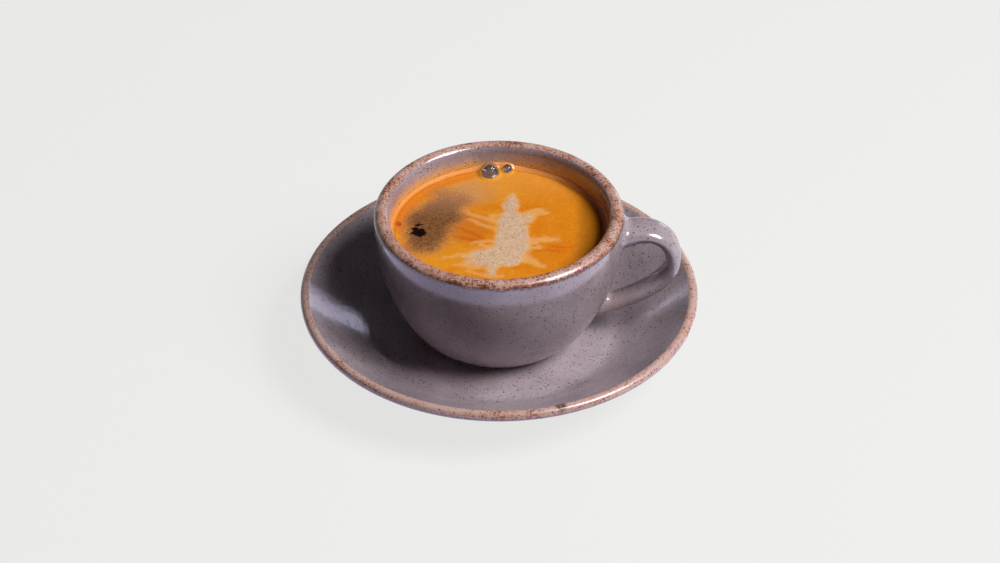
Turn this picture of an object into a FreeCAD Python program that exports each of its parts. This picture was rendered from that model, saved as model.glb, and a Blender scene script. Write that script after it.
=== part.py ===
import FreeCAD, Part
import math
import os

# An espresso in a glazed stoneware cup on its saucer.
# Millimetres. +Z is up, the origin is the middle of the saucer's foot on the
# table, and the cup's handle points along +X.

Vector = FreeCAD.Vector
UP = Vector(0, 0, 1)

# ---- Saucer -----------------------------------------------------------------
SAUCER_DIAMETER = 120.0
SAUCER_LIP_HEIGHT = 18.0        # height of the middle of the rounded lip
SAUCER_LIP_RADIUS = 1.6         # the lip is a full round of this radius
SAUCER_WALL_ANGLE = 38.0        # slope of the wall where it meets the lip, degrees
SAUCER_WALL_BEND = 0.25         # how softly the well turns up: 0 is a sharp crease
SAUCER_WELL_HEIGHT = 4.8        # height of the flat well that the cup stands in
SAUCER_FLOOR = 3.1              # thickness under the well
SAUCER_FOOT_RADIUS = 33.0       # outside of the ring the saucer stands on
SAUCER_FOOT_WIDTH = 3.6
SAUCER_FOOT_ROUND = 0.6

# ---- Cup --------------------------------------------------------------------
CUP_RIM_DIAMETER = 74.2         # over the outside of the lip
CUP_HEIGHT = 41.5               # from the cup's foot to the middle of its lip
CUP_WALL = 4.6                  # wall thickness, rounded over fully at the lip
CUP_BELLY_FULLNESS = 2.19       # exponents of the belly's curve
CUP_BELLY_ROUNDNESS = 1.43
CUP_FOOT_RADIUS = 19.3
CUP_FOOT_INSET = 1.2            # the belly overhangs the foot by this much
CUP_FOOT_WIDTH = 3.0
CUP_FOOT_RISE = 0.7             # how far the belly clears the saucer's well
CUP_FOOT_RECESS = 1.2           # hollow inside the foot ring

# ---- Handle: a strap that leaves the wall under the lip and returns low down --
HANDLE_WIDTH_TOP = 11.3         # across the strap, where it leaves the wall
HANDLE_WIDTH_MIDDLE = 8.1
HANDLE_WIDTH_BOTTOM = 6.6
HANDLE_THICKNESS_TOP = 5.3
HANDLE_THICKNESS_MIDDLE = 4.6
HANDLE_THICKNESS_BOTTOM = 4.6
HANDLE_SQUARENESS = 2.4         # exponent of the section: 2 is an ellipse
HANDLE_STATIONS = 11            # sections that the strap is lofted through
HANDLE_BLEND_TOP = 2.2          # fillets where the strap joins the wall
HANDLE_BLEND_BOTTOM = 1.6
# Middle line of the strap, from the top: how far it stands out from the cup's
# outside at that height, and its height, as a drop below the middle of the lip
# or a rise above the cup's foot. It starts and ends inside the wall.
HANDLE_ROUTE_TOP = (
    (-3.4, 9.7),
    (6.6, 3.8),
    (9.4, 4.2),
    (16.0, 13.3),
)
HANDLE_ROUTE_BOTTOM = (
    (8.9, 13.9),
    (-4.6, 8.2),
)

# ---- Drink ------------------------------------------------------------------
CREMA_DROP = 5.8                # surface of the crema below the middle of the lip
CREMA_DEPTH = 2.6               # thickness of the foam on the coffee
MENISCUS_HEIGHT = 0.45          # how far the crema creeps up the wall
MENISCUS_WIDTH = 0.9            # distance over which that creep fades
FILL_CLEARANCE = 0.05           # between the drink and the wall of the cup

# ---- Bubbles on the crema, against the far wall -----------------------------
BUBBLE_CLEARANCE = 0.15         # between a bubble and the wall of the cup
LARGE_BUBBLE_RADIUS = 2.9
LARGE_BUBBLE_LIFT = 1.2         # height of its middle above the crema
LARGE_BUBBLE_ANGLE = 98.5       # direction from the cup's axis, degrees from +X
SMALL_BUBBLE_RADIUS = 1.5
SMALL_BUBBLE_LIFT = 0.9
SMALL_BUBBLE_ANGLE = 88.3

# ---- Worked out from the sizes above ----------------------------------------
CUP_FOOT_Z = SAUCER_WELL_HEIGHT
CUP_BELLY_Z = CUP_FOOT_Z + CUP_FOOT_RISE
CUP_LIP_Z = CUP_FOOT_Z + CUP_HEIGHT
CUP_RIM_RADIUS = CUP_RIM_DIAMETER / 2
CUP_LIP_RADIUS = CUP_WALL / 2
CUP_BELLY_RADIUS = CUP_FOOT_RADIUS + CUP_FOOT_INSET
CUP_FLOOR_Z = CUP_BELLY_Z + CUP_WALL
CREMA_Z = CUP_LIP_Z - CREMA_DROP
COFFEE_Z = CREMA_Z - CREMA_DEPTH
PROFILE_POINTS = 16             # points that a formula's curve is passed through


def line(a, b):
    """Straight edge between two points."""
    return Part.LineSegment(a, b).toShape()


def arc(a, middle, b):
    """Circular edge through three points."""
    return Part.Arc(a, middle, b).toShape()


def smooth(points):
    """Smooth edge through the points."""
    curve = Part.BSplineCurve()
    curve.interpolate(Points=points)
    return curve.toShape()


def turned(edges):
    """Solid of revolution about the Z axis of a closed outline.

    The outline lies on the -X side, so the seam is opposite the handle."""
    face = Part.Face(Part.Wire(edges))
    solid = face.revolve(Vector(0, 0, 0), UP, 360)
    return solid if solid.Volume > 0 else solid.reversed()


def at(radius, height):
    """Point of a turned outline, in the -X half of the XZ plane."""
    return Vector(-radius, 0, height)


def along(angle):
    """Direction in the outline's plane, in degrees up from outwards."""
    return Vector(-math.cos(math.radians(angle)), 0, math.sin(math.radians(angle)))


# ---- Saucer -----------------------------------------------------------------
def wall_rise(share):
    """Share of the wall's height at a share of its run: flat, then straight."""
    bend = SAUCER_WALL_BEND
    return (math.hypot(share, bend) - bend) / (math.hypot(1, bend) - bend)


def wall_line(run_start, low, run_end, high):
    """The saucer's wall, above or below, from the well out to the lip."""
    points = []
    for i in range(PROFILE_POINTS):
        share = i / (PROFILE_POINTS - 1)
        radius = run_start + (run_end - run_start) * share
        points.append(at(radius, low + (high - low) * wall_rise(share)))
    return smooth(points)


def wall_run(rise):
    """Run of a wall that reaches SAUCER_WALL_ANGLE at its top."""
    bend = SAUCER_WALL_BEND
    end_slope = 1 / (math.hypot(1, bend) * (math.hypot(1, bend) - bend))
    return end_slope * rise / math.tan(math.radians(SAUCER_WALL_ANGLE))


def make_saucer():
    angle = math.radians(SAUCER_WALL_ANGLE)
    lip_middle = SAUCER_DIAMETER / 2 - SAUCER_LIP_RADIUS
    out = SAUCER_LIP_RADIUS * math.sin(angle)
    up = SAUCER_LIP_RADIUS * math.cos(angle)
    inner_top = at(lip_middle - out, SAUCER_LIP_HEIGHT + up)
    outer_low = at(lip_middle + out, SAUCER_LIP_HEIGHT - up)
    lip_end = at(lip_middle, SAUCER_LIP_HEIGHT) + along(SAUCER_WALL_ANGLE) * SAUCER_LIP_RADIUS

    under_z = SAUCER_WELL_HEIGHT - SAUCER_FLOOR
    well_edge = -inner_top.x - wall_run(inner_top.z - SAUCER_WELL_HEIGHT)
    under_edge = -outer_low.x - wall_run(outer_low.z - under_z)
    foot_inner = SAUCER_FOOT_RADIUS - SAUCER_FOOT_WIDTH

    edges = [
        line(at(0, under_z), at(0, SAUCER_WELL_HEIGHT)),
        line(at(0, SAUCER_WELL_HEIGHT), at(well_edge, SAUCER_WELL_HEIGHT)),
        wall_line(well_edge, SAUCER_WELL_HEIGHT, -inner_top.x, inner_top.z),
        arc(inner_top, lip_end, outer_low),
        wall_line(under_edge, under_z, -outer_low.x, outer_low.z),
        line(at(under_edge, under_z), at(0, under_z)),
    ]
    plate = turned(edges)
    ring = Part.makeCylinder(SAUCER_FOOT_RADIUS, under_z).cut(Part.makeCylinder(foot_inner, under_z))
    ring_edges = [e for e in ring.Edges if len(e.Vertexes) == 1 and e.BoundBox.ZMax < under_z / 2]
    ring = ring.makeFillet(SAUCER_FOOT_ROUND, ring_edges)
    return plate.fuse(ring).removeSplitter()


# ---- Cup --------------------------------------------------------------------
def bowl_radius(z, bottom_radius, bottom_z, top_radius):
    """Radius of the bowl's curve at a height, between its bottom and the lip."""
    left = ((CUP_LIP_Z - z) / (CUP_LIP_Z - bottom_z)) ** CUP_BELLY_FULLNESS
    share = (1 - left) ** (1 / CUP_BELLY_ROUNDNESS)
    return bottom_radius + (top_radius - bottom_radius) * share


def bowl_heights(bottom_z):
    """Heights along the bowl's curve, closer together where it is flatter."""
    heights = []
    for i in range(PROFILE_POINTS):
        share = math.sin(math.pi / 2 * i / (PROFILE_POINTS - 1))
        left = max(0.0, 1 - share ** CUP_BELLY_ROUNDNESS)
        heights.append(CUP_LIP_Z - (CUP_LIP_Z - bottom_z) * left ** (1 / CUP_BELLY_FULLNESS))
    return heights


def outside_radius(z):
    """Radius of the cup's outside at a height."""
    return bowl_radius(z, CUP_BELLY_RADIUS, CUP_BELLY_Z, CUP_RIM_RADIUS)


def inside_radius(z, clearance=0.0):
    """Radius of the cup's hollow at a height."""
    bottom_radius = CUP_BELLY_RADIUS - CUP_WALL - clearance
    top_radius = CUP_RIM_RADIUS - CUP_WALL - clearance
    return bowl_radius(z, bottom_radius, CUP_FLOOR_Z + clearance, top_radius)


def inside_solid(clearance, top):
    """The cup's hollow, smaller all round by a clearance, up to a height."""
    heights = bowl_heights(CUP_FLOOR_Z + clearance)
    points = [at(inside_radius(z, clearance), z) for z in heights]
    floor_z = heights[0]
    rim = points[-1]
    above = top + CUP_RIM_DIAMETER
    edges = [
        line(at(0, above), at(0, floor_z)),
        line(at(0, floor_z), points[0]),
        smooth(points),
        line(rim, at(-rim.x, above)),
        line(at(-rim.x, above), at(0, above)),
    ]
    hollow = turned(edges)
    block = Part.makeCylinder(CUP_RIM_DIAMETER, top)
    return hollow.common(block)


def cup_blank():
    """The outside of the cup, filled in, with its rounded lip and its foot."""
    lip_middle = CUP_RIM_RADIUS - CUP_LIP_RADIUS
    inner_lip = at(lip_middle - CUP_LIP_RADIUS, CUP_LIP_Z)
    foot_inner = CUP_FOOT_RADIUS - CUP_FOOT_WIDTH
    recess_z = CUP_FOOT_Z + CUP_FOOT_RECESS
    belly = [at(outside_radius(z), z) for z in bowl_heights(CUP_BELLY_Z)]
    edges = [
        line(at(0, CUP_LIP_Z), at(0, recess_z)),
        line(at(0, recess_z), at(foot_inner, recess_z)),
        line(at(foot_inner, recess_z), at(foot_inner, CUP_FOOT_Z)),
        line(at(foot_inner, CUP_FOOT_Z), at(CUP_FOOT_RADIUS, CUP_FOOT_Z)),
        line(at(CUP_FOOT_RADIUS, CUP_FOOT_Z), at(CUP_FOOT_RADIUS, CUP_BELLY_Z)),
        line(at(CUP_FOOT_RADIUS, CUP_BELLY_Z), belly[0]),
        smooth(belly),
        arc(belly[-1], at(lip_middle, CUP_LIP_Z + CUP_LIP_RADIUS), inner_lip),
        line(inner_lip, at(0, CUP_LIP_Z)),
    ]
    return turned(edges)


def between(first, middle, last, share):
    """A size that goes from first through middle to last along the strap."""
    if share < 0.5:
        low, high, part = first, middle, share * 2
    else:
        low, high, part = middle, last, share * 2 - 1
    return low + (high - low) * part * part * (3 - 2 * part)


def strap_section(centre, direction, width, thickness):
    """Closed curve round the strap: a superellipse square to its middle line."""
    side = Vector(0, 1, 0)
    outward = direction.cross(side)
    outward.normalize()
    count = 16
    power = 2 / HANDLE_SQUARENESS
    points = []
    for i in range(count):
        turn = 2 * math.pi * i / count
        c = math.cos(turn)
        s = math.sin(turn)
        across = math.copysign(abs(c) ** power, c) * width / 2
        through = math.copysign(abs(s) ** power, s) * thickness / 2
        points.append(centre + side * across + outward * through)
    curve = Part.BSplineCurve()
    curve.interpolate(Points=points, PeriodicFlag=True)
    return Part.Wire(curve.toShape())


def strap_line():
    """Middle line of the strap in the XZ plane."""
    stations = [(out, CUP_LIP_Z - drop) for out, drop in HANDLE_ROUTE_TOP]
    stations += [(out, CUP_FOOT_Z + rise) for out, rise in HANDLE_ROUTE_BOTTOM]
    points = [Vector(outside_radius(z) + out, 0, z) for out, z in stations]
    curve = Part.BSplineCurve()
    curve.interpolate(Points=points)
    return curve


def make_strap():
    route = strap_line()
    length = route.length()
    sections = []
    for i in range(HANDLE_STATIONS):
        share = i / (HANDLE_STATIONS - 1)
        place = route.parameterAtDistance(length * share, route.FirstParameter)
        direction = route.tangent(place)[0]
        width = between(HANDLE_WIDTH_TOP, HANDLE_WIDTH_MIDDLE, HANDLE_WIDTH_BOTTOM, share)
        thickness = between(
            HANDLE_THICKNESS_TOP, HANDLE_THICKNESS_MIDDLE, HANDLE_THICKNESS_BOTTOM, share
        )
        sections.append(strap_section(route.value(place), direction, width, thickness))
    return Part.makeLoft(sections, True, False)


def join_edges(solid):
    """Edges where the strap meets the wall, above and below its middle."""
    route = strap_line()
    middle_z = route.value((route.FirstParameter + route.LastParameter) / 2).z
    top = []
    bottom = []
    for edge in solid.Edges:
        kinds = set()
        for face in solid.ancestorsOfType(edge, Part.Face):
            kinds.add(type(face.Surface).__name__)
        on_strap_side = edge.BoundBox.XMin > 0 and edge.BoundBox.YLength < SAUCER_DIAMETER / 4
        if "SurfaceOfRevolution" in kinds and len(kinds) > 1 and on_strap_side:
            group = top if edge.CenterOfMass.z > middle_z else bottom
            group.append(edge)
    return top, bottom


def make_cup():
    solid = cup_blank().fuse(make_strap())
    top, bottom = join_edges(solid)
    solid = solid.makeFillet(HANDLE_BLEND_TOP, top)
    top, bottom = join_edges(solid)
    solid = solid.makeFillet(HANDLE_BLEND_BOTTOM, bottom)
    hollow = inside_solid(0.0, CUP_LIP_Z + 2 * CUP_LIP_RADIUS)
    return solid.cut(hollow)


# ---- Drink ------------------------------------------------------------------
def crema_surface():
    """Everything under the surface of the crema, which creeps up the wall."""
    edge_radius = inside_radius(CREMA_Z)
    over_wall = CUP_WALL / 2
    points = []
    for i in range(PROFILE_POINTS):
        share = i / (PROFILE_POINTS - 1)
        radius = edge_radius * (1 - (1 - share) ** 3)
        creep = MENISCUS_HEIGHT * math.exp((radius - edge_radius) / MENISCUS_WIDTH)
        points.append(at(radius, CREMA_Z + creep))
    rim = points[-1]
    beyond = edge_radius + over_wall
    edges = [
        line(at(0, COFFEE_Z), points[0]),
        smooth(points),
        line(rim, at(beyond, rim.z)),
        line(at(beyond, rim.z), at(beyond, COFFEE_Z)),
        line(at(beyond, COFFEE_Z), at(0, COFFEE_Z)),
    ]
    return turned(edges)


def make_coffee():
    return inside_solid(FILL_CLEARANCE, COFFEE_Z)


def make_crema():
    return inside_solid(FILL_CLEARANCE, CUP_LIP_Z).common(crema_surface())


def make_bubble(radius, lift, angle, crema):
    """A bubble against the wall, standing in the crema."""
    height = CREMA_Z + lift
    reach = inside_radius(height) - radius - BUBBLE_CLEARANCE
    turn = math.radians(angle)
    centre = Vector(reach * math.cos(turn), reach * math.sin(turn), height)
    ball = Part.makeSphere(radius, centre)
    below = Part.makeCylinder(CUP_RIM_DIAMETER, CREMA_Z)
    return ball.cut(below).cut(crema)


# ---- Parts ------------------------------------------------------------------
def main():
    os.makedirs("parts", exist_ok=True)
    crema = make_crema()
    nodes = {
        "saucer": make_saucer(),
        "cup": make_cup(),
        "coffee": make_coffee(),
        "crema": crema,
        "bubble_large": make_bubble(LARGE_BUBBLE_RADIUS, LARGE_BUBBLE_LIFT, LARGE_BUBBLE_ANGLE, crema),
        "bubble_small": make_bubble(SMALL_BUBBLE_RADIUS, SMALL_BUBBLE_LIFT, SMALL_BUBBLE_ANGLE, crema),
    }
    for name, shape in nodes.items():
        solids = shape.Solids
        size = shape.BoundBox
        print(
            f"{name}: {len(solids)} solid, valid {shape.isValid()}, {shape.Volume / 1000:.2f} ml,"
            f" x {size.XMin:.2f}..{size.XMax:.2f} z {size.ZMin:.2f}..{size.ZMax:.2f}"
        )
        solids[0].exportStep(f"parts/{name}.step")


main()
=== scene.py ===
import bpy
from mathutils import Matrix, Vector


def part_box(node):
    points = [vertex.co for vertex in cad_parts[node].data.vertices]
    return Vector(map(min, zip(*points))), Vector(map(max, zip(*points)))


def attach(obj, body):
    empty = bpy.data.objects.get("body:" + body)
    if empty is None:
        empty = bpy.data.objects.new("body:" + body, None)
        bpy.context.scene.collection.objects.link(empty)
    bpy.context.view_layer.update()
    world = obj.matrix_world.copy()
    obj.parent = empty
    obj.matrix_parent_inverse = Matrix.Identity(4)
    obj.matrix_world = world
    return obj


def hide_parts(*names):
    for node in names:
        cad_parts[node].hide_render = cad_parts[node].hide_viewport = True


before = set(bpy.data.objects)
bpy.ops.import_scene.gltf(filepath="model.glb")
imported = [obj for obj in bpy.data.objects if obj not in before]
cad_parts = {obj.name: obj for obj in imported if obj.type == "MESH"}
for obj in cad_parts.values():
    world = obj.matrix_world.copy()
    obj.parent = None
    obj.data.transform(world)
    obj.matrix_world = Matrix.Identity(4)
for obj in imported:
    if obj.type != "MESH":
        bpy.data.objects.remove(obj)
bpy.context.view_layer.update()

# An espresso in a glazed stoneware cup on its saucer, dressed around the fixed
# frame. Metres; +Z is up and the cup's handle points along +X. Lengths named in
# millimetres end in _MM, because the materials work in millimetres. Colours
# passed to linear() are display values from 0 to 255.

import math

import bpy
import numpy as np
from mathutils import Vector

MM = 0.001

# ---- Sizes read from the frame ------------------------------------------------
SAUCER_RADIUS_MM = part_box("saucer")[1].x / MM
SAUCER_TOP_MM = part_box("saucer")[1].z / MM
CUP_TOP_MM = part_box("cup")[1].z / MM
CUP_RADIUS_MM = -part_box("cup")[0].x / MM
CREMA_RADIUS_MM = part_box("crema")[1].x / MM
CREMA_LOW_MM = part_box("crema")[0].z / MM
CREMA_LEVEL_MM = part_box("bubble_large")[0].z / MM
BUBBLES = ("bubble_large", "bubble_small")


def middle_of(node):
    """Middle of a node in plan, its lowest height, its top and its radius, in mm."""
    low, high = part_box(node)
    return (
        np.array([(low.x + high.x) / 2, (low.y + high.y) / 2]) / MM,
        low.z / MM,
        high.z / MM,
        (high.x - low.x) / 2 / MM,
    )


# ---- Node trees -----------------------------------------------------------------
class Tree:
    """A material's node tree, written as expressions."""

    def __init__(self, name):
        self.material = bpy.data.materials.new(name)
        self.material.use_nodes = True
        self.nodes = self.material.node_tree.nodes
        self.links = self.material.node_tree.links
        self.shader = self.nodes["Principled BSDF"]

    def put(self, value, socket):
        """Feeds a socket from a number, a colour or another socket."""
        if isinstance(value, bpy.types.NodeSocket):
            self.links.new(value, socket)
        elif isinstance(value, tuple) and len(value) == 3 and socket.type == "RGBA":
            socket.default_value = (*value, 1)
        else:
            socket.default_value = value

    def add(self, kind, settings=None, **inputs):
        """New node; an underscore in an input's name stands for a space."""
        node = self.nodes.new(kind)
        for key, value in (settings or {}).items():
            setattr(node, key, value)
        for key, value in inputs.items():
            self.put(value, node.inputs[key.replace("_", " ")])
        return node

    def math(self, operation, a, b=0.0):
        node = self.add("ShaderNodeMath", {"operation": operation})
        self.put(a, node.inputs[0])
        self.put(b, node.inputs[1])
        return node.outputs[0]

    def position_mm(self):
        """Place on the object, in millimetres."""
        place = self.add("ShaderNodeTexCoord").outputs["Object"]
        node = self.add("ShaderNodeVectorMath", {"operation": "SCALE"})
        self.put(place, node.inputs[0])
        node.inputs["Scale"].default_value = 1 / MM
        return node.outputs[0]

    def split(self, vector):
        node = self.add("ShaderNodeSeparateXYZ", Vector=vector)
        return node.outputs

    def shifted(self, vector, x, y, z):
        node = self.add("ShaderNodeVectorMath", {"operation": "ADD"})
        self.put(vector, node.inputs[0])
        node.inputs[1].default_value = (x, y, z)
        return node.outputs[0]

    def noise(self, vector, size, detail=2.0, roughness=0.5, distortion=0.0):
        """Noise from 0 to 1 whose features are about size millimetres."""
        node = self.add(
            "ShaderNodeTexNoise",
            Vector=vector,
            Scale=1 / size,
            Detail=detail,
            Roughness=roughness,
            Distortion=distortion,
        )
        return node.outputs["Fac"]

    def ramp(self, value, low, high, start=0.0, end=1.0):
        """Smooth step: start up to low, end from high on."""
        node = self.add("ShaderNodeMapRange", {"interpolation_type": "SMOOTHSTEP"})
        self.put(value, node.inputs["Value"])
        self.put(low, node.inputs["From Min"])
        self.put(high, node.inputs["From Max"])
        self.put(start, node.inputs["To Min"])
        self.put(end, node.inputs["To Max"])
        return node.outputs[0]

    def mix(self, share, a, b):
        """Colour between a and b."""
        node = self.add("ShaderNodeMix", {"data_type": "RGBA"})
        self.put(share, node.inputs[0])
        self.put(a, node.inputs[6])
        self.put(b, node.inputs[7])
        return node.outputs[2]

    def paint(self, color, cover, tone, strength=1.0):
        """Lays tone over color where cover shows, at most as fully as strength."""
        if strength != 1.0:
            cover = self.math("MULTIPLY", cover, strength)
        return self.mix(cover, color, tone)

    def specks(self, vector, spacing, radius, share, seed):
        """Round specks in some of the cells of a scattered grid, 1 inside a speck."""
        moved = self.shifted(vector, seed * 37.1, seed * 11.7, seed * 5.3)
        cells = self.add("ShaderNodeTexVoronoi", Vector=moved, Scale=1 / spacing, Randomness=1.0)
        chance = self.split(cells.outputs["Color"])
        present = self.math("LESS_THAN", chance[0], share)
        reach = self.math("MULTIPLY", chance[1], radius / spacing)
        edge = self.math("MULTIPLY", reach, 0.55)
        round_speck = self.ramp(cells.outputs["Distance"], edge, reach, 1.0, 0.0)
        return self.math("MULTIPLY", round_speck, present)

    def bump(self, height, distance_mm, strength=1.0, normal=None):
        """Normal for a relief of height times distance_mm, on top of another normal."""
        node = self.add("ShaderNodeBump", Height=height, Strength=strength, Distance=distance_mm * MM)
        if normal is not None:
            self.put(normal, node.inputs["Normal"])
        return node.outputs[0]

    def attribute(self, name):
        """Values stored on the mesh's points."""
        return self.add("ShaderNodeAttribute", {"attribute_name": name}).outputs["Fac"]

    def finish(self, **sockets):
        """Feeds the shader's sockets and gives the material."""
        for key, value in sockets.items():
            self.put(value, self.shader.inputs[key.replace("_", " ")])
        return self.material


def linear(red, green, blue):
    """Scene-linear colour from display values 0 to 255."""

    def one(value):
        value /= 255
        return value / 12.92 if value <= 0.04045 else ((value + 0.055) / 1.055) ** 2.4

    return one(red), one(green), one(blue)


# ---- Stoneware glaze ------------------------------------------------------------
GLAZE_GREY = linear(158, 145, 151)
GLAZE_GREY_PALE = linear(176, 163, 170)
GLAZE_GREY_DEEP = linear(136, 122, 130)
GLAZE_CREAM = linear(206, 184, 168)
BREAK_PALE = linear(190, 166, 162)
BREAK_TAN = linear(190, 146, 128)
BREAK_RUST = linear(142, 88, 66)
BREAK_DARK = linear(82, 46, 36)
SPECK_DARK = linear(52, 34, 30)
SPECK_BROWN = linear(104, 74, 62)
STAIN_PALE = linear(220, 168, 106)
STAIN_DEEP = linear(190, 140, 66)
STAIN_RING = linear(206, 122, 48)
SAUCER_BREAK_WIDTH_MM = 1.9
SAUCER_OUTLINE_MM = (15.6, 17.4)
SAUCER_BLOT_MM = (20.5, -54.6)
STRAP_ROOT_MM = (33.0, 0.0, 16.5)
ON_CUP_MM = CUP_RADIUS_MM + 0.6


def radius_of(tree, place):
    """Distance from the cup's axis."""
    x, y, _ = tree.split(place)
    square = tree.math("ADD", tree.math("MULTIPLY", x, x), tree.math("MULTIPLY", y, y))
    return tree.math("SQRT", square)


def away_from(tree, place, middle, wander, wobble):
    """Distance from a point in plan (two numbers) or space (three), pushed about by noise."""
    square = 0.0
    for value, at in zip(tree.split(place), middle):
        reach = tree.math("SUBTRACT", value, at)
        square = tree.math("ADD", square, tree.math("MULTIPLY", reach, reach))
    return tree.math("ADD", tree.math("SQRT", square), tree.math("MULTIPLY", wander, wobble))


def glaze_ground(tree, place, mottle):
    """Mauve-grey with clouds, mottling and a fine grain."""
    cloud = tree.noise(place, 14.0, 3.0, 0.55)
    grain = tree.noise(place, 0.45, 2.0, 0.6)
    color = tree.mix(tree.ramp(cloud, 0.32, 0.68), GLAZE_GREY_DEEP, GLAZE_GREY_PALE)
    color = tree.mix(0.45, color, GLAZE_GREY)
    color = tree.paint(color, tree.ramp(mottle, 0.35, 0.75, 0.0, 0.22), GLAZE_GREY_PALE)
    return tree.paint(color, tree.ramp(grain, 0.55, 0.78, 0.0, 0.30), GLAZE_GREY_DEEP)


def broken_glaze(tree, place, blotch, lip_top, rust):
    """The brown of a lip: tan, rust and near black, palest along the lip's crest, where a painted highlight
    lightens it.
    """
    drift = tree.noise(place, 6.0, 2.0, 0.5)
    # Painted highlight along the lip's crest: less rust there turns the brown to pale tan.
    crest_highlight = tree.ramp(tree.split(place)[2], lip_top - 1.1, lip_top - 0.2)
    swing = tree.math("MULTIPLY", tree.math("SUBTRACT", drift, 0.5), 0.5)
    rusted = tree.math("ADD", blotch, swing)
    rusted = tree.math("SUBTRACT", rusted, tree.math("MULTIPLY", crest_highlight, 0.09))
    rusted = tree.math("ADD", rusted, rust)
    rim = tree.mix(tree.ramp(rusted, 0.42, 0.52), BREAK_TAN, BREAK_RUST)
    rim = tree.paint(rim, tree.ramp(rusted, 0.54, 0.62, 0.0, 0.85), BREAK_DARK)
    rim = tree.paint(rim, tree.ramp(rusted, 0.42, 0.30, 0.0, 0.7), BREAK_PALE)
    return tree.paint(rim, tree.specks(place, 0.8, 0.34, 0.8, 4), BREAK_DARK, 0.8)


def glaze_normal(tree, place, wander, pits):
    """Slow waves, orange peel and faint turning rings, with a pit at each large speck."""
    waves = tree.noise(place, 9.0, 2.0, 0.5)
    orange_peel = tree.noise(place, 1.3, 2.0, 0.5)
    relief = tree.math("ADD", waves, tree.math("MULTIPLY", orange_peel, 0.10))
    turning = tree.math("MULTIPLY", radius_of(tree, place), 3.4)
    turning = tree.math("SINE", tree.math("ADD", turning, tree.math("MULTIPLY", wander, 3.0)))
    relief = tree.math("ADD", relief, tree.math("MULTIPLY", turning, 0.035))
    smooth_relief = tree.bump(relief, 0.12, 0.6)
    return tree.bump(tree.math("MULTIPLY", pits, -1.0), 0.02, 0.5, smooth_relief)


def glaze(name, lip_top, break_mask, line_mask, cream_mask=None, stain=None, speck_share=0.6, rust=0.0):
    """Speckled mauve-grey glaze that breaks to brown where it runs thin on a lip.

    lip_top is the height of the lip's crest. break_mask and line_mask take the
    tree, the place and a wandering noise, and give how much of the brown and of its
    dark outline shows; cream_mask does so for a creamy tint. stain lays what the
    drink leaves over the colour. speck_share is the share of the large specks that
    is there, and rust shifts the brown towards its dark end."""
    tree = Tree(name)
    place = tree.position_mm()
    mottle = tree.noise(place, 2.4, 4.0, 0.6)
    wander = tree.noise(place, 3.5, 3.0, 0.6)
    blotch = tree.noise(place, 0.75, 4.0, 0.75)

    color = glaze_ground(tree, place, mottle)
    if cream_mask is not None:
        color = tree.paint(color, cream_mask(tree, place, wander), GLAZE_CREAM)
    browned = break_mask(tree, place, wander)
    color = tree.paint(color, browned, broken_glaze(tree, place, blotch, lip_top, rust))
    outline = line_mask(tree, place, wander)
    ragged = tree.math("MULTIPLY", outline, tree.ramp(blotch, 0.3, 0.55, 0.35, 1.0))
    color = tree.paint(color, ragged, BREAK_DARK, 0.95)
    if stain is not None:
        color = stain(tree, color, place, wander, mottle)
    large = tree.specks(place, 1.0, 0.38, speck_share, 1)
    small = tree.specks(place, 0.6, 0.27, 0.8, 2)
    color = tree.paint(color, small, SPECK_BROWN, 0.85)
    color = tree.paint(color, large, SPECK_DARK, 0.9)

    roughness = tree.ramp(mottle, 0.3, 0.8, 0.11, 0.2)
    rough_rim = tree.math("MULTIPLY", browned, 0.10)
    tree.shader.inputs["IOR"].default_value = 1.68
    tree.shader.inputs["Specular Tint"].default_value = (0.90, 0.84, 1.0, 1)
    return tree.finish(
        Base_Color=color,
        Roughness=tree.math("ADD", roughness, rough_rim),
        Normal=glaze_normal(tree, place, wander, large),
    )


def saucer_break(tree, place, wander):
    """Brown band round the saucer's edge."""
    radius = radius_of(tree, place)
    edge = tree.math("ADD", radius, tree.math("MULTIPLY", wander, 1.6))
    inner = SAUCER_RADIUS_MM - SAUCER_BREAK_WIDTH_MM
    return tree.ramp(edge, inner - 0.35, inner + 0.35)


def saucer_line(tree, place, wander):
    """Dark outline under the outer edge, and one run of dark glaze on the lip."""
    height = tree.split(place)[2]
    outer = tree.ramp(radius_of(tree, place), SAUCER_RADIUS_MM - 1.0, SAUCER_RADIUS_MM - 0.3)
    under = tree.ramp(height, *SAUCER_OUTLINE_MM, 1.0, 0.0)
    line = tree.math("MULTIPLY", outer, under)
    blot = tree.ramp(away_from(tree, place, SAUCER_BLOT_MM, wander, 2.0), 2.2, 3.2, 1.0, 0.0)
    return tree.math("MAXIMUM", line, blot)


def cup_break(tree, place, wander):
    """Brown band on the cup's lip, a little lower down on the inside."""
    height = tree.split(place)[2]
    radius = radius_of(tree, place)
    edge = tree.math("ADD", height, tree.math("MULTIPLY", wander, 1.2))
    inside = tree.ramp(radius, CUP_RADIUS_MM - 3.1, CUP_RADIUS_MM - 2.1, 1.0, 0.0)
    edge = tree.math("SUBTRACT", edge, inside)
    band = tree.ramp(edge, CUP_TOP_MM - 1.2, CUP_TOP_MM - 0.7)
    return tree.math("MULTIPLY", band, tree.math("LESS_THAN", radius, ON_CUP_MM))


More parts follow.
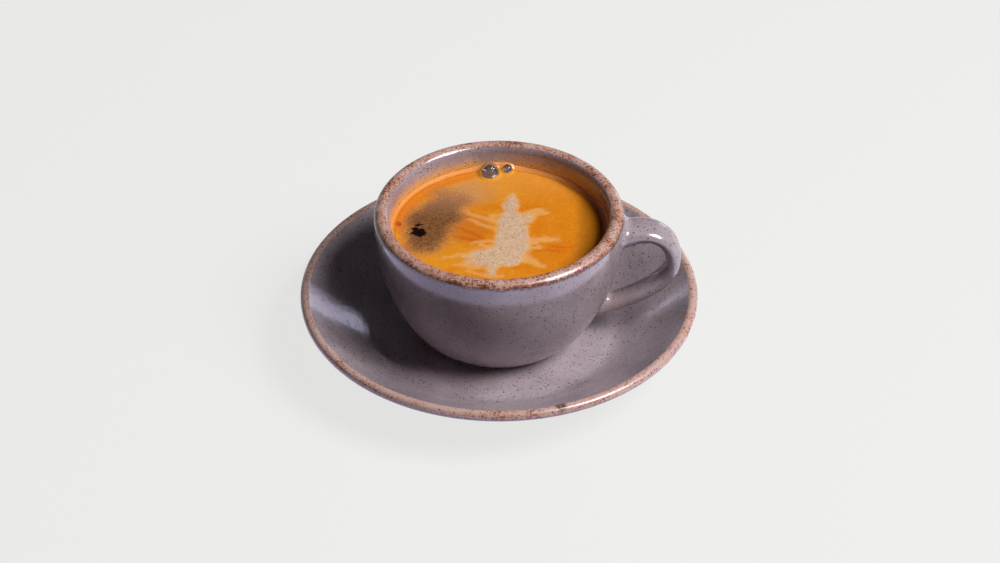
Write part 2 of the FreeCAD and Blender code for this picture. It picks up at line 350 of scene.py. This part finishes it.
def cup_line(tree, place, wander):
    """Dark outline where the brown lip meets the grey outside, and a fainter one inside."""
    x, _, height = tree.split(place)
    radius = radius_of(tree, place)
    edge = tree.math("ADD", height, tree.math("MULTIPLY", wander, 1.3))
    low = tree.ramp(edge, CUP_TOP_MM - 1.75, CUP_TOP_MM - 1.3)
    high = tree.ramp(edge, CUP_TOP_MM - 0.9, CUP_TOP_MM - 0.4, 1.0, 0.0)
    outside = tree.ramp(radius, CUP_RADIUS_MM - 2.4, CUP_RADIUS_MM - 1.6)
    on_cup = tree.math("LESS_THAN", radius, ON_CUP_MM)
    outer = tree.math("MULTIPLY", tree.math("MULTIPLY", low, high), tree.math("MULTIPLY", outside, on_cup))
    inner = tree.ramp(radius, CUP_RADIUS_MM - 3.5, CUP_RADIUS_MM - 4.1)
    inner = tree.math("MULTIPLY", inner, tree.ramp(edge, CUP_TOP_MM - 2.2, CUP_TOP_MM - 1.5))
    turned = tree.ramp(x, -20.0, 18.0, 0.1, 0.55)
    return tree.math("MAXIMUM", outer, tree.math("MULTIPLY", inner, turned))


def cup_cream(tree, place, wander):
    """Creamy tint round the strap's lower root."""
    return tree.ramp(away_from(tree, place, STRAP_ROOT_MM, wander, 3.0), 5.0, 10.5, 0.25, 0.0)


def crema_stain(tree, color, place, wander, mottle):
    """Film of crema left on the inside wall just above the coffee."""
    height = tree.split(place)[2]
    radius = radius_of(tree, place)
    inside = tree.math("LESS_THAN", radius, CUP_RADIUS_MM - 2.3)
    inside = tree.math("MULTIPLY", inside, tree.math("GREATER_THAN", height, CREMA_LEVEL_MM - 1.5))
    edge = tree.math("ADD", height, tree.math("MULTIPLY", wander, -2.4))
    film = tree.ramp(edge, CREMA_LEVEL_MM - 0.2, CREMA_LEVEL_MM + 4.0, 1.0, 0.0)
    color = tree.paint(color, tree.math("MULTIPLY", film, inside), tree.mix(mottle, STAIN_PALE, STAIN_DEEP))
    ring = tree.ramp(edge, CREMA_LEVEL_MM - 0.9, CREMA_LEVEL_MM + 0.4, 0.8, 0.0)
    return tree.paint(color, tree.math("MULTIPLY", ring, inside), STAIN_RING)


def coat(node, material):
    """Puts one material on the whole of a node."""
    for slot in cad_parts[node].material_slots:
        slot.material = material


def dress_stoneware():
    saucer = glaze("saucer glaze", SAUCER_TOP_MM, saucer_break, saucer_line, speck_share=0.75, rust=-0.10)
    coat("saucer", saucer)
    cup = glaze("cup glaze", CUP_TOP_MM, cup_break, cup_line, cup_cream, crema_stain, speck_share=0.5)
    coat("cup", cup)


# ---- Coffee ---------------------------------------------------------------------
COFFEE_DEEP = linear(38, 16, 8)
COFFEE_WARM = linear(60, 28, 12)


def dress_coffee():
    tree = Tree("coffee")
    depth = tree.noise(tree.position_mm(), 6.0, 2.0, 0.5)
    coat("coffee", tree.finish(Base_Color=tree.mix(depth, COFFEE_DEEP, COFFEE_WARM), Roughness=0.08))


# ---- Crema ----------------------------------------------------------------------
CREMA_RINGS = 112
CREMA_SEGMENTS = 512
# The surface ends a little way into the wall, where nothing shows, and the ring
# below it is a little narrower and above the crema's lowest point.
CREMA_INTO_WALL_MM = 0.3
SKIRT_GAP_MM = 0.25
SKIRT_LIFT_MM = 0.1
# How far the edge climbs the wall, from how far away, and how much more it climbs
# at the back, round this turn and with this spread in degrees.
MENISCUS_MM = 0.8
MENISCUS_WIDTH_MM = 0.8
BACK_CLIMB_MM = 1.3
BACK_CLIMB_TURN = 94
BACK_CLIMB_SPREAD = 11
# Foam rises round each bubble, and the pool inside lies lower.
FOAM_RISE_MM = 0.42
FOAM_SPREAD_MM = 0.55
POOL_DEPTH_MM = 0.35
LEAF_RELIEF_MM = 0.06
# A bubble's painted glint, a near-white highlight on the pool, as shares of the bubble's radius.
GLINT_PLACE = (0.58, -0.30)
GLINT_REACH = 0.36
# What a mark says at places far away from it.
FAR_OUTSIDE = -9.0
# The random lattice repeats after so many cells, and the object lies this far into it.
LATTICE_CELLS = 64
LATTICE_START = 1000


def lattice_noise(x, y, size, seed):
    """Smooth noise in plan from -1 to 1 whose features are about size millimetres.

    The same seed always gives the same noise."""
    random = np.random.default_rng(seed)
    table = random.uniform(-1, 1, (LATTICE_CELLS, LATTICE_CELLS))
    u = x / size + LATTICE_START
    v = y / size + LATTICE_START
    i = np.floor(u).astype(int)
    j = np.floor(v).astype(int)
    a = u - i
    b = v - j
    a = a * a * (3 - 2 * a)
    b = b * b * (3 - 2 * b)

    def corner(di, dj):
        return table[(i + di) % LATTICE_CELLS, (j + dj) % LATTICE_CELLS]

    low = corner(0, 0) * (1 - a) + corner(1, 0) * a
    high = corner(0, 1) * (1 - a) + corner(1, 1) * a
    return low * (1 - b) + high * b


def warped(x, y, amount, size, seed):
    """Plan places pushed about by noise, so that drawn edges wander."""
    return (
        x + amount * lattice_noise(x, y, size, seed),
        y + amount * lattice_noise(x, y, size, seed + 1),
    )


def smooth_step(value, low, high):
    """Rises smoothly from 0 at low to 1 at high; low may be the larger of the two."""
    share = np.clip((value - low) / (high - low), 0, 1)
    return share * share * (3 - 2 * share)


def oval(x, y, middle, radii, turn=0.0):
    """1 at an oval's middle, 0 on its edge, negative outside."""
    c = math.cos(math.radians(turn))
    s = math.sin(math.radians(turn))
    u = (x - middle[0]) * c + (y - middle[1]) * s
    v = -(x - middle[0]) * s + (y - middle[1]) * c
    return 1 - np.hypot(u / radii[0], v / radii[1])


def stroke(x, y, points):
    """Millimetres inside a line of (x, y, half width) points, negative outside."""
    best = np.full(x.shape, FAR_OUTSIDE)
    for (ax, ay, aw), (bx, by, bw) in zip(points, points[1:]):
        dx = bx - ax
        dy = by - ay
        along = np.clip(((x - ax) * dx + (y - ay) * dy) / (dx * dx + dy * dy), 0, 1)
        away = np.hypot(x - ax - along * dx, y - ay - along * dy)
        best = np.maximum(best, aw + along * (bw - aw) - away)
    return best


def strokes(x, y, lines):
    """Millimetres inside the nearest of several lines."""
    best = np.full(x.shape, FAR_OUTSIDE)
    for points in lines:
        best = np.maximum(best, stroke(x, y, points))
    return best


# Lines drawn on the crema: (x, y, half width) in millimetres, handle along +X.
LEAF = (
    ((3.0, 18.4, 0.7), (3.1, 15.5, 1.3), (2.8, 11.0, 1.9), (3.4, 7.0, 3.6), (3.8, 2.0, 4.5),
     (4.2, -3.0, 4.7), (4.0, -8.0, 5.1), (2.6, -12.0, 5.3)),
    ((5.0, 4.6, 2.6), (8.6, 7.6, 1.4)),
    ((2.6, -12.0, 5.3), (-1.5, -11.8, 3.8), (-5.4, -12.0, 2.2), (-8.6, -12.8, 0.9)),
    ((2.0, -13.0, 4.2), (-0.6, -16.0, 2.4), (-1.4, -20.4, 0.7)),
    ((0.0, -14.0, 2.4), (-5.0, -15.2, 1.8), (-9.0, -16.0, 0.6)),
)
BRANCHES = (
    ((5.0, 7.0, 1.6), (8.0, 8.6, 1.5), (11.5, 10.5, 1.8), (14.0, 10.0, 0.6)),
    ((9.0, 7.5, 1.4), (12.0, 11.5, 1.1)),
    ((7.0, -4.4, 1.6), (11.0, -4.2, 1.4), (15.0, -3.4, 1.1), (17.5, -2.8, 0.5)),
    ((8.0, -7.4, 0.9), (12.5, -7.2, 0.6)),
    ((6.5, -12.5, 1.8), (10.0, -14.6, 1.5), (13.4, -17.0, 0.9)),
    ((-3.0, -11.2, 1.2), (-6.5, -11.2, 0.8), (-9.6, -12.4, 0.5)),
    ((-6.0, -13.6, 0.7), (-11.0, -11.6, 0.6), (-15.5, -13.6, 0.4)),
    ((0.2, 8.2, 0.7), (-2.6, 7.6, 0.5)),
    ((-1.0, -8.0, 1.2), (-5.0, -7.4, 0.5)),
)
STREAKS = (
    ((-10.6, 10.2, 0.5), (-9.0, 8.0, 0.7), (-6.0, 6.4, 0.8), (-3.0, 5.4, 0.8), (0.0, 4.6, 0.9)),
    ((-9.0, 5.2, 0.4), (-6.0, 3.6, 0.7), (-3.0, 2.2, 0.8), (0.0, 1.0, 0.9)),
    ((-8.0, -6.6, 0.4), (-4.0, -5.2, 0.7), (0.0, -5.0, 0.9)),
    ((2.0, -22.0, 0.7), (-2.0, -22.6, 0.6), (-8.0, -20.0, 0.5)),
    ((-12.0, -17.0, 0.5), (-7.0, -18.2, 0.7), (-2.0, -18.6, 0.6)),
)
RUST_LINES = (
    ((-13.0, 1.2, 0.4), (-8.6, -1.0, 0.6), (-4.4, -4.2, 0.5)),
    ((-12.5, -3.4, 0.5), (-8.0, -4.6, 0.5), (-4.0, -5.2, 0.3)),
    ((-12.0, 7.6, 0.4), (-8.4, 5.6, 0.5)),
    ((11.0, -9.4, 0.05), (15.0, -8.4, 0.2), (19.5, -9.2, 0.1)),
    ((14.5, -6.2, 0.05), (18.0, -7.0, 0.2), (23.0, -6.4, 0.1)),
)
# Dots that run together into one dark spot: (x, y, radius) in millimetres.
PEPPER_SPOTS = (
    (-23.8, -1.9, 2.0), (-24.9, -0.6, 1.0), (-22.7, -0.7, 1.0), (-23.2, -3.2, 0.9),
    (-24.6, 1.5, 0.7), (-23.2, 1.9, 0.4), (-24.0, 3.0, 0.3), (-25.8, -2.5, 0.5),
    (-21.7, -2.2, 0.4),
)


def bubble_marks(x, y):
    """Marks under the bubbles: the pool inside, how far to its front, and a painted glint."""
    pool = np.full(x.shape, FAR_OUTSIDE)
    slit = np.full(x.shape, FAR_OUTSIDE)
    glint = np.full(x.shape, FAR_OUTSIDE)
    for node in BUBBLES:
        middle, _, _, reach = middle_of(node)
        share = 1 - np.hypot(x - middle[0], y - middle[1]) / reach
        pool = np.maximum(pool, share)
        front = (middle[1] - y) / reach
        slit = np.maximum(slit, np.where(share > -0.2, front, FAR_OUTSIDE))
        spot_x = middle[0] + GLINT_PLACE[0] * reach
        spot_y = middle[1] + GLINT_PLACE[1] * reach
        glint = np.maximum(glint, 1 - np.hypot(x - spot_x, y - spot_y) / (GLINT_REACH * reach))
    return {"pool": pool, "slit": slit, "glint": glint}


def crema_marks(x, y):
    """How strongly each mark shows at each place of the crema; 0 is a mark's edge."""
    turn = np.degrees(np.arctan2(y, x))
    rim = CREMA_RADIUS_MM - np.hypot(x, y)
    # The leaf, the fine streaks, the broad patches and the dots each wander their own way.
    wx, wy = warped(x, y, 0.7, 2.6, 11)
    wx, wy = warped(wx, wy, 0.3, 0.9, 21)
    sx, sy = warped(x, y, 0.45, 3.0, 31)
    vx, vy = warped(x, y, 1.6, 5.0, 41)
    px, py = warped(x, y, 0.5, 0.8, 51)

    pepper = np.full(x.shape, FAR_OUTSIDE)
    for cx, cy, reach in PEPPER_SPOTS:
        pepper = np.maximum(pepper, 1 - np.hypot(px - cx, py - cy) / reach)
    patch = np.maximum(
        oval(vx, vy, (-21.4, 0.6), (8.0, 14.0), -4.0),
        oval(vx, vy, (-18.0, 9.6), (7.6, 10.6), -24.0),
    )
    left_band = smooth_step(rim, 6.0, 3.0) * smooth_step(rim, 0.6, 1.6)
    left_band = left_band * smooth_step(turn % 360, 92, 118) * smooth_step(turn % 360, 196, 172)
    # A dark line near the wall at the back right: partly a brown line in the crema, partly painted shadow of
    # the wall.
    back_line_and_shade = smooth_step(rim, 3.0, 1.2) * smooth_step(rim, -0.1, 0.5)
    back_line_and_shade = back_line_and_shade * smooth_step(turn, 66, 52) * smooth_step(turn, -40, 10)
    return {
        "leaf": strokes(wx, wy, LEAF),
        "branch": strokes(wx, wy, BRANCHES),
        "streak": strokes(sx, sy, STREAKS),
        "rust": strokes(sx, sy, RUST_LINES),
        "patch": patch,
        "pepper": pepper,
        "veil": oval(vx, vy, (-11.0, 18.0), (13.0, 10.0), 20.0),
        "brown": oval(vx, vy, (-8.6, 0.8), (7.4, 8.0), -20.0),
        "band": left_band,
        "ember": 1 - np.hypot(px + 30.2, py - 1.8) / 1.5,
        # Painted shadow of the cup's wall over the crema's right side.
        "shade": smooth_step(x, 19.5, 27.5) * smooth_step(np.abs(y + 1.0), 27.0, 13.0),
        "back_line_and_painted_shade": back_line_and_shade,
        "edge": rim,
        **bubble_marks(x, y),
    }


def crema_height(x, y):
    """Height of the crema's surface: it climbs the wall and the bubbles' skirts."""
    turn = np.degrees(np.arctan2(y, x))
    rim = np.clip(CREMA_RADIUS_MM - np.hypot(x, y), 0, None)
    climb = MENISCUS_MM + BACK_CLIMB_MM * np.exp(-(((turn - BACK_CLIMB_TURN) / BACK_CLIMB_SPREAD) ** 2))
    height = CREMA_LEVEL_MM + climb * np.exp(-rim / MENISCUS_WIDTH_MM)
    for node in BUBBLES:
        middle, _, _, reach = middle_of(node)
        away = np.hypot(x - middle[0], y - middle[1])
        height = height + FOAM_RISE_MM * np.exp(-(((away - reach) / FOAM_SPREAD_MM) ** 2))
        height = height - POOL_DEPTH_MM * smooth_step(away, reach, reach * 0.6)
    swell = lattice_noise(x, y, 7.0, 61) * 0.05 + lattice_noise(x, y, 2.2, 62) * 0.02
    leaf = smooth_step(strokes(x, y, LEAF), -0.4, 1.0)
    return height + swell * smooth_step(rim, 0.0, 2.0) + LEAF_RELIEF_MM * leaf


def crema_places():
    """The middle, rings of points outwards from it, a ring below the edge and its middle."""
    radii = (CREMA_RADIUS_MM + CREMA_INTO_WALL_MM) * np.linspace(0, 1, CREMA_RINGS + 1)[1:]
    turns = np.arange(CREMA_SEGMENTS) / CREMA_SEGMENTS * 2 * math.pi
    x = np.concatenate([[0.0], np.outer(radii, np.cos(turns)).ravel()])
    y = np.concatenate([[0.0], np.outer(radii, np.sin(turns)).ravel()])
    surface = np.column_stack([x, y, crema_height(x, y)])
    skirt = CREMA_RADIUS_MM - SKIRT_GAP_MM
    bottom = CREMA_LOW_MM + SKIRT_LIFT_MM
    below = np.column_stack([skirt * np.cos(turns), skirt * np.sin(turns), np.full(CREMA_SEGMENTS, bottom)])
    return np.vstack([surface, below, [[0.0, 0.0, bottom]]])


def crema_faces(bottom):
    """A fan at the middle, quads between the rings, and a fan round the bottom point."""

    def ring(number):
        return 1 + number * CREMA_SEGMENTS + np.arange(CREMA_SEGMENTS)

    first = ring(0)
    faces = [(0, int(a), int(b)) for a, b in zip(first, np.roll(first, -1))]
    for number in range(CREMA_RINGS):
        inner = ring(number)
        outer = ring(number + 1)
        quads = np.column_stack([inner, outer, np.roll(outer, -1), np.roll(inner, -1)])
        faces += [tuple(int(v) for v in quad) for quad in quads]
    last = ring(CREMA_RINGS)
    faces += [(bottom, int(b), int(a)) for a, b in zip(last, np.roll(last, -1))]
    return faces


def smooth_piece(name, places, faces, material):
    """Smooth-shaded object from places in millimetres, linked to the scene."""
    mesh = bpy.data.meshes.new(name)
    mesh.from_pydata([tuple(float(v) * MM for v in place) for place in places], [], faces)
    mesh.polygons.foreach_set("use_smooth", np.ones(len(mesh.polygons), dtype=bool))
    mesh.materials.append(material)
    piece = bpy.data.objects.new(name, mesh)
    bpy.context.scene.collection.objects.link(piece)
    return piece


def make_crema():
    places = crema_places()
    piece = smooth_piece("crema_surface", places, crema_faces(len(places) - 1), crema_material())
    for name, values in crema_marks(places[:, 0], places[:, 1]).items():
        layer = piece.data.attributes.new(name, "FLOAT", "POINT")
        layer.data.foreach_set("value", np.clip(values, -4, 40).astype(np.float32))
    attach(piece, "root")
    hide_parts("crema")


# Marks that are laid over the golden foam one after another. Each has the values at
# which it starts and is full, how far noise shakes its edge, how fully it covers,
# and its display colour.
CREMA_DRAWING = (
    ("brown", -0.1, 0.5, 0.3, 0.75, (200, 110, 24)),
    ("rust", -0.9, 0.5, 1.4, 0.7, (196, 84, 14)),
    ("band", 0.2, 0.9, 0.9, 0.75, (212, 114, 12)),
    ("streak", -0.8, 0.6, 1.0, 0.65, (228, 164, 96)),
    ("branch", -0.9, 0.7, 2.2, 0.85, (224, 164, 92)),
    ("leaf", -1.5, 0.2, 2.0, 0.75, (222, 166, 104)),
)
# Laid over next: a rusty spot by the left wall, then painted shade. One mark is the wall's shadow painted
# over the crema's right side. The other is a dark line along the back right, partly brown crema and partly
# painted shadow of the wall.
CREMA_RUST_AND_PAINTED_SHADE = (
    ("ember", -0.2, 0.6, 0.5, 1.0, (176, 70, 10)),
    ("shade", 0.1, 0.9, 0.2, 0.5, (136, 88, 6)),
    ("back_line_and_painted_shade", 0.15, 0.7, 0.5, 0.4, (130, 54, 12)),
)


class CremaTree(Tree):
    """The crema's node tree, with the noises that its layers of colour share."""

    def __init__(self):
        super().__init__("crema")
        self.place = self.position_mm()
        self.curdle = self.noise(self.place, 1.8, 4.0, 0.65)
        self.foam = self.noise(self.place, 0.42, 3.0, 0.7)
        self.froth = self.noise(self.place, 0.8, 2.0, 0.6)

    def mark(self, name, low, high, jitter, noise=None):
        """How fully a mark shows, with its edge shaken by noise."""
        grain = self.curdle if noise is None else noise
        shake = self.math("MULTIPLY", self.math("SUBTRACT", grain, 0.5), jitter)
        return self.ramp(self.math("ADD", self.attribute(name), shake), low, high)

    def draw(self, color, marks):
        for name, low, high, jitter, strength, tone in marks:
            color = self.paint(color, self.mark(name, low, high, jitter), linear(*tone), strength)
        return color


def crema_ground(tree):
    """Golden foam, deeper to the right and paler at the back, with a veil at the left."""
    x, y, _ = tree.split(tree.place)
    cloud = tree.noise(tree.place, 9.0, 3.0, 0.55, 0.4)
    color = tree.mix(tree.ramp(cloud, 0.35, 0.65), linear(218, 141, 30), linear(210, 120, 8))
    color = tree.paint(color, tree.ramp(x, -4.0, 14.0), linear(212, 118, 4), 0.65)
    color = tree.paint(color, tree.ramp(y, 12.0, 27.0), linear(224, 148, 54), 0.75)
    color = tree.paint(color, tree.ramp(tree.curdle, 0.5, 0.75, 0.0, 0.35), linear(232, 156, 60))
    return tree.paint(color, tree.mark("veil", 0.0, 0.9, 0.5, tree.foam), linear(202, 142, 86))


def crema_patch(tree, color):
    """Dark patch at the left, greyer towards the back, with a soft brown edge."""
    y = tree.split(tree.place)[1]
    color = tree.paint(color, tree.mark("patch", -0.35, 0.35, 0.9, tree.foam), linear(168, 116, 74), 0.8)
    deep = tree.mix(tree.ramp(tree.froth, 0.3, 0.7), linear(74, 45, 28), linear(118, 77, 50))
    greyed = tree.paint(deep, tree.ramp(y, 4.0, 15.0, 0.0, 0.75), linear(150, 108, 84))
    return tree.paint(color, tree.mark("patch", -0.08, 0.5, 1.0, tree.foam), greyed, 0.9)


def crema_edge(tree, color):
    """Pale lip where the crema meets the wall, with a dark line inside it."""
    edge = tree.attribute("edge")
    color = tree.paint(color, tree.ramp(edge, 0.2, 1.1, 1.0, 0.0), linear(222, 150, 96), 0.75)
    line = tree.math("MULTIPLY", tree.ramp(edge, 0.9, 1.2), tree.ramp(edge, 1.3, 1.8, 1.0, 0.0))
    return tree.paint(color, line, linear(160, 78, 20), 0.45)


def crema_grain(tree, color, leaf):
    """Dark grit, which the pale leaf shows most, and the foam's light and dark grain."""
    grit = tree.specks(tree.place, 0.8, 0.32, 0.6, 6)
    on_leaf = tree.math("MULTIPLY", grit, tree.math("ADD", tree.math("MULTIPLY", leaf, 0.6), 0.12))
    color = tree.paint(color, on_leaf, linear(70, 40, 26))
    color = tree.paint(color, tree.ramp(tree.foam, 0.35, 0.75, 0.0, 0.16), linear(120, 66, 24))
    color = tree.paint(color, tree.ramp(tree.foam, 0.62, 0.25, 0.0, 0.12), linear(240, 180, 96))
    return tree.paint(color, tree.mark("pepper", -0.2, 0.15, 0.7, tree.froth), linear(20, 6, 5))


def crema_pool(tree, color, pool):
    """Wet coffee inside the bubbles, dark along the front, with a painted dark reflection round its back
    edge and a painted glint on it.
    """
    slit = tree.attribute("slit")
    # Painted reflection: the bubble top's dark reflection, laid round the back edge of the pool.
    rim_reflection = tree.ramp(tree.attribute("pool"), 0.34, 0.12)
    rim_reflection = tree.math("MULTIPLY", rim_reflection, tree.ramp(slit, -0.1, -0.4, 0.0, 0.9))
    wet = tree.mix(tree.ramp(tree.froth, 0.3, 0.7), linear(132, 112, 106), linear(92, 74, 68))
    wet = tree.paint(wet, rim_reflection, linear(34, 18, 14))
    wet = tree.paint(wet, tree.ramp(slit, 0.45, 0.62), linear(30, 12, 8))
    color = tree.paint(color, pool, wet)
    # Painted highlight: a near-white glint on the pool.
    return tree.paint(color, tree.ramp(tree.attribute("glint"), -0.1, 0.3), (1.0, 0.97, 0.93))


def crema_material():
    tree = CremaTree()
    color = tree.draw(crema_ground(tree), CREMA_DRAWING)
    leaf = tree.mark("leaf", -0.7, 1.1, 2.2)
    pale = tree.mix(tree.ramp(tree.froth, 0.35, 0.7), linear(212, 182, 154), linear(192, 158, 128))
    color = crema_patch(tree, tree.paint(color, leaf, pale))
    color = crema_edge(tree, tree.draw(color, CREMA_RUST_AND_PAINTED_SHADE))
    pool = tree.ramp(tree.attribute("pool"), 0.0, 0.14)
    color = crema_pool(tree, crema_grain(tree, color, leaf), pool)

    relief = tree.math("ADD", tree.math("MULTIPLY", tree.foam, 0.5), tree.math("MULTIPLY", tree.curdle, 0.5))
    tree.shader.inputs["Coat Roughness"].default_value = 0.08
    tree.shader.inputs["IOR"].default_value = 1.33
    tree.shader.inputs["Specular IOR Level"].default_value = 0.12
    return tree.finish(
        Base_Color=color,
        Roughness=tree.math("SUBTRACT", 0.55, tree.math("MULTIPLY", pool, 0.45)),
        Normal=tree.bump(relief, 0.05, 0.6),
        Coat_Weight=tree.ramp(tree.attribute("edge"), 0.8, 1.6, 1.0, 0.0),
    )


# ---- Bubbles --------------------------------------------------------------------
FILM_MM = 0.07
BUBBLE_SEGMENTS = 72
BUBBLE_ROWS = 30
BUBBLE_SKIRT_MM = 0.25


def film_material():
    """Clear brownish film whose tint swirls."""
    tree = Tree("bubble film")
    swirl = tree.noise(tree.position_mm(), 1.6, 2.0, 0.5, 1.0)
    tree.shader.inputs["IOR"].default_value = 1.6
    tree.shader.inputs["Specular IOR Level"].default_value = 1.0
    return tree.finish(
        Base_Color=tree.mix(swirl, linear(150, 134, 128), linear(112, 96, 92)),
        Roughness=0.02,
        Alpha=0.16,
        Normal=tree.bump(swirl, 0.03, 0.3),
    )


def dome_places(middle, center, radius, lowest):
    """Rows of points from the lowest angle up to a last point on top."""
    places = []
    for row in range(BUBBLE_ROWS):
        climb = lowest + (math.pi / 2 - lowest) * row / BUBBLE_ROWS
        for segment in range(BUBBLE_SEGMENTS):
            turn = 2 * math.pi * segment / BUBBLE_SEGMENTS
            across = radius * math.cos(climb)
            x = middle[0] + across * math.cos(turn)
            y = middle[1] + across * math.sin(turn)
            places.append((x, y, center + radius * math.sin(climb)))
    places.append((middle[0], middle[1], center + radius))
    return places


def dome_faces(base):
    """Outward faces of a dome whose points start at base."""
    faces = []
    for row in range(BUBBLE_ROWS):
        for segment in range(BUBBLE_SEGMENTS):
            after = (segment + 1) % BUBBLE_SEGMENTS
            a = base + row * BUBBLE_SEGMENTS + segment
            b = base + row * BUBBLE_SEGMENTS + after
            if row == BUBBLE_ROWS - 1:
                faces.append((a, b, base + BUBBLE_ROWS * BUBBLE_SEGMENTS))
            else:
                faces.append((a, b, b + BUBBLE_SEGMENTS, a + BUBBLE_SEGMENTS))
    return faces


def make_bubble(node, material):
    """Thin dome of film over a pool of coffee, filling the node's own bubble."""
    middle, low, top, reach = middle_of(node)
    lift = top - low - reach
    lowest = math.asin(max(-1.0, (-lift - BUBBLE_SKIRT_MM) / reach))
    outside = dome_places(middle, low + lift, reach, lowest)
    inside = dome_places(middle, low + lift, reach - FILM_MM, lowest)
    step = len(outside)
    faces = dome_faces(0) + [tuple(reversed(face)) for face in dome_faces(step)]
    for segment in range(BUBBLE_SEGMENTS):
        after = (segment + 1) % BUBBLE_SEGMENTS
        faces.append((segment, step + segment, step + after, after))
    piece = smooth_piece(node + "_film", outside + inside, faces, material)
    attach(piece, "root")
    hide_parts(node)


def make_bubbles():
    material = film_material()
    for node in BUBBLES:
        make_bubble(node, material)


# ---- Floor, lights, camera ------------------------------------------------------
FLOOR_GLOW = 0.745
FLOOR_COLOR = (0.095, 0.095, 0.094)
FLOOR_HALF = 3.0


def floor_material():
    """Pale floor lit mostly from within, so that the soft shadow on it stays faint."""
    tree = Tree("pale floor")
    place = tree.position_mm()
    tone = tree.ramp(tree.noise(place, 60.0, 2.0, 0.5), 0.3, 0.7, 0.0, 0.02)
    shade = tree.mix(tone, FLOOR_COLOR, tuple(0.9 * c for c in FLOOR_COLOR))
    return tree.finish(
        Base_Color=shade,
        Roughness=0.9,
        Specular_IOR_Level=0.0,
        Emission_Color=(1.0, 1.0, 0.985),
        Emission_Strength=FLOOR_GLOW,
    )


def make_floor():
    near = -FLOOR_HALF
    far = FLOOR_HALF
    corners = [(near, near, 0), (far, near, 0), (far, far, 0), (near, far, 0)]
    mesh = bpy.data.meshes.new("floor")
    mesh.from_pydata(corners, [], [(0, 1, 2, 3)])
    mesh.materials.append(floor_material())
    floor = bpy.data.objects.new("floor", mesh)
    floor.visible_diffuse = False
    bpy.context.scene.collection.objects.link(floor)


# Where the lights point, in metres.
LIGHT_AIM = (0, 0, 0.02)


def make_light(name, place, aim, width, height, power, color):
    """Soft rectangular light at place, facing aim. Metres and watts."""
    data = bpy.data.lights.new(name, "AREA")
    data.shape = "RECTANGLE"
    data.size = width
    data.size_y = height
    data.energy = power
    data.color = color
    light = bpy.data.objects.new(name, data)
    light.location = place
    towards = Vector(aim) - Vector(place)
    light.rotation_euler = towards.to_track_quat("-Z", "Y").to_euler()
    bpy.context.scene.collection.objects.link(light)
    return light


def make_lights():
    """Key from the front right, two small boxes behind, and a low card in front that
    only reflections see."""
    world = bpy.data.worlds.new("studio")
    world.use_nodes = True
    background = world.node_tree.nodes["Background"]
    background.inputs["Color"].default_value = (0.95, 0.93, 1.0, 1)
    background.inputs["Strength"].default_value = 0.05
    bpy.context.scene.world = world
    make_light("key", (0.70, -0.27, 0.90), LIGHT_AIM, 0.56, 0.56, 18.5, (1.0, 0.985, 0.98))
    make_light("back right box", (0.42, 0.84, 0.15), LIGHT_AIM, 0.13, 0.26, 0.30, (0.84, 0.82, 1.0))
    make_light("back left box", (-0.54, 0.72, 0.17), LIGHT_AIM, 0.08, 0.14, 0.07, (0.88, 0.86, 1.0))
    card = make_light("front card", (0, -0.20, 0.001), (0, -0.20, 1), 1.2, 0.44, 1.75, (0.70, 0.61, 1.0))
    card.visible_camera = False
    card.visible_diffuse = False


# Metres, with the camera turned from straight in front towards the handle's side.
CAMERA_DISTANCE = 0.8438
CAMERA_ELEVATION = math.radians(37.62)
CAMERA_AZIMUTH = math.radians(3.0)
CAMERA_TARGET = Vector((0.00005, 0.00459, 0.018))
CAMERA_LENS_MM = 100.0


def make_camera():
    data = bpy.data.cameras.new("camera")
    data.lens = CAMERA_LENS_MM
    data.sensor_width = 36.0
    data.clip_start = 0.01
    camera = bpy.data.objects.new("camera", data)
    back = Vector(
        (
            math.sin(CAMERA_AZIMUTH) * math.cos(CAMERA_ELEVATION),
            -math.cos(CAMERA_AZIMUTH) * math.cos(CAMERA_ELEVATION),
            math.sin(CAMERA_ELEVATION),
        )
    )
    camera.location = CAMERA_TARGET + back * CAMERA_DISTANCE
    camera.rotation_euler = (-back).to_track_quat("-Z", "Y").to_euler()
    bpy.context.scene.collection.objects.link(camera)
    bpy.context.scene.camera = camera


def set_colors():
    """Plain display of the scene's colours."""
    view = bpy.context.scene.view_settings
    view.view_transform = "Standard"
    view.look = "None"
    view.exposure = 0.0
    view.gamma = 1.0


make_camera()
set_colors()
make_floor()
make_lights()
dress_stoneware()
dress_coffee()
make_crema()
make_bubbles()
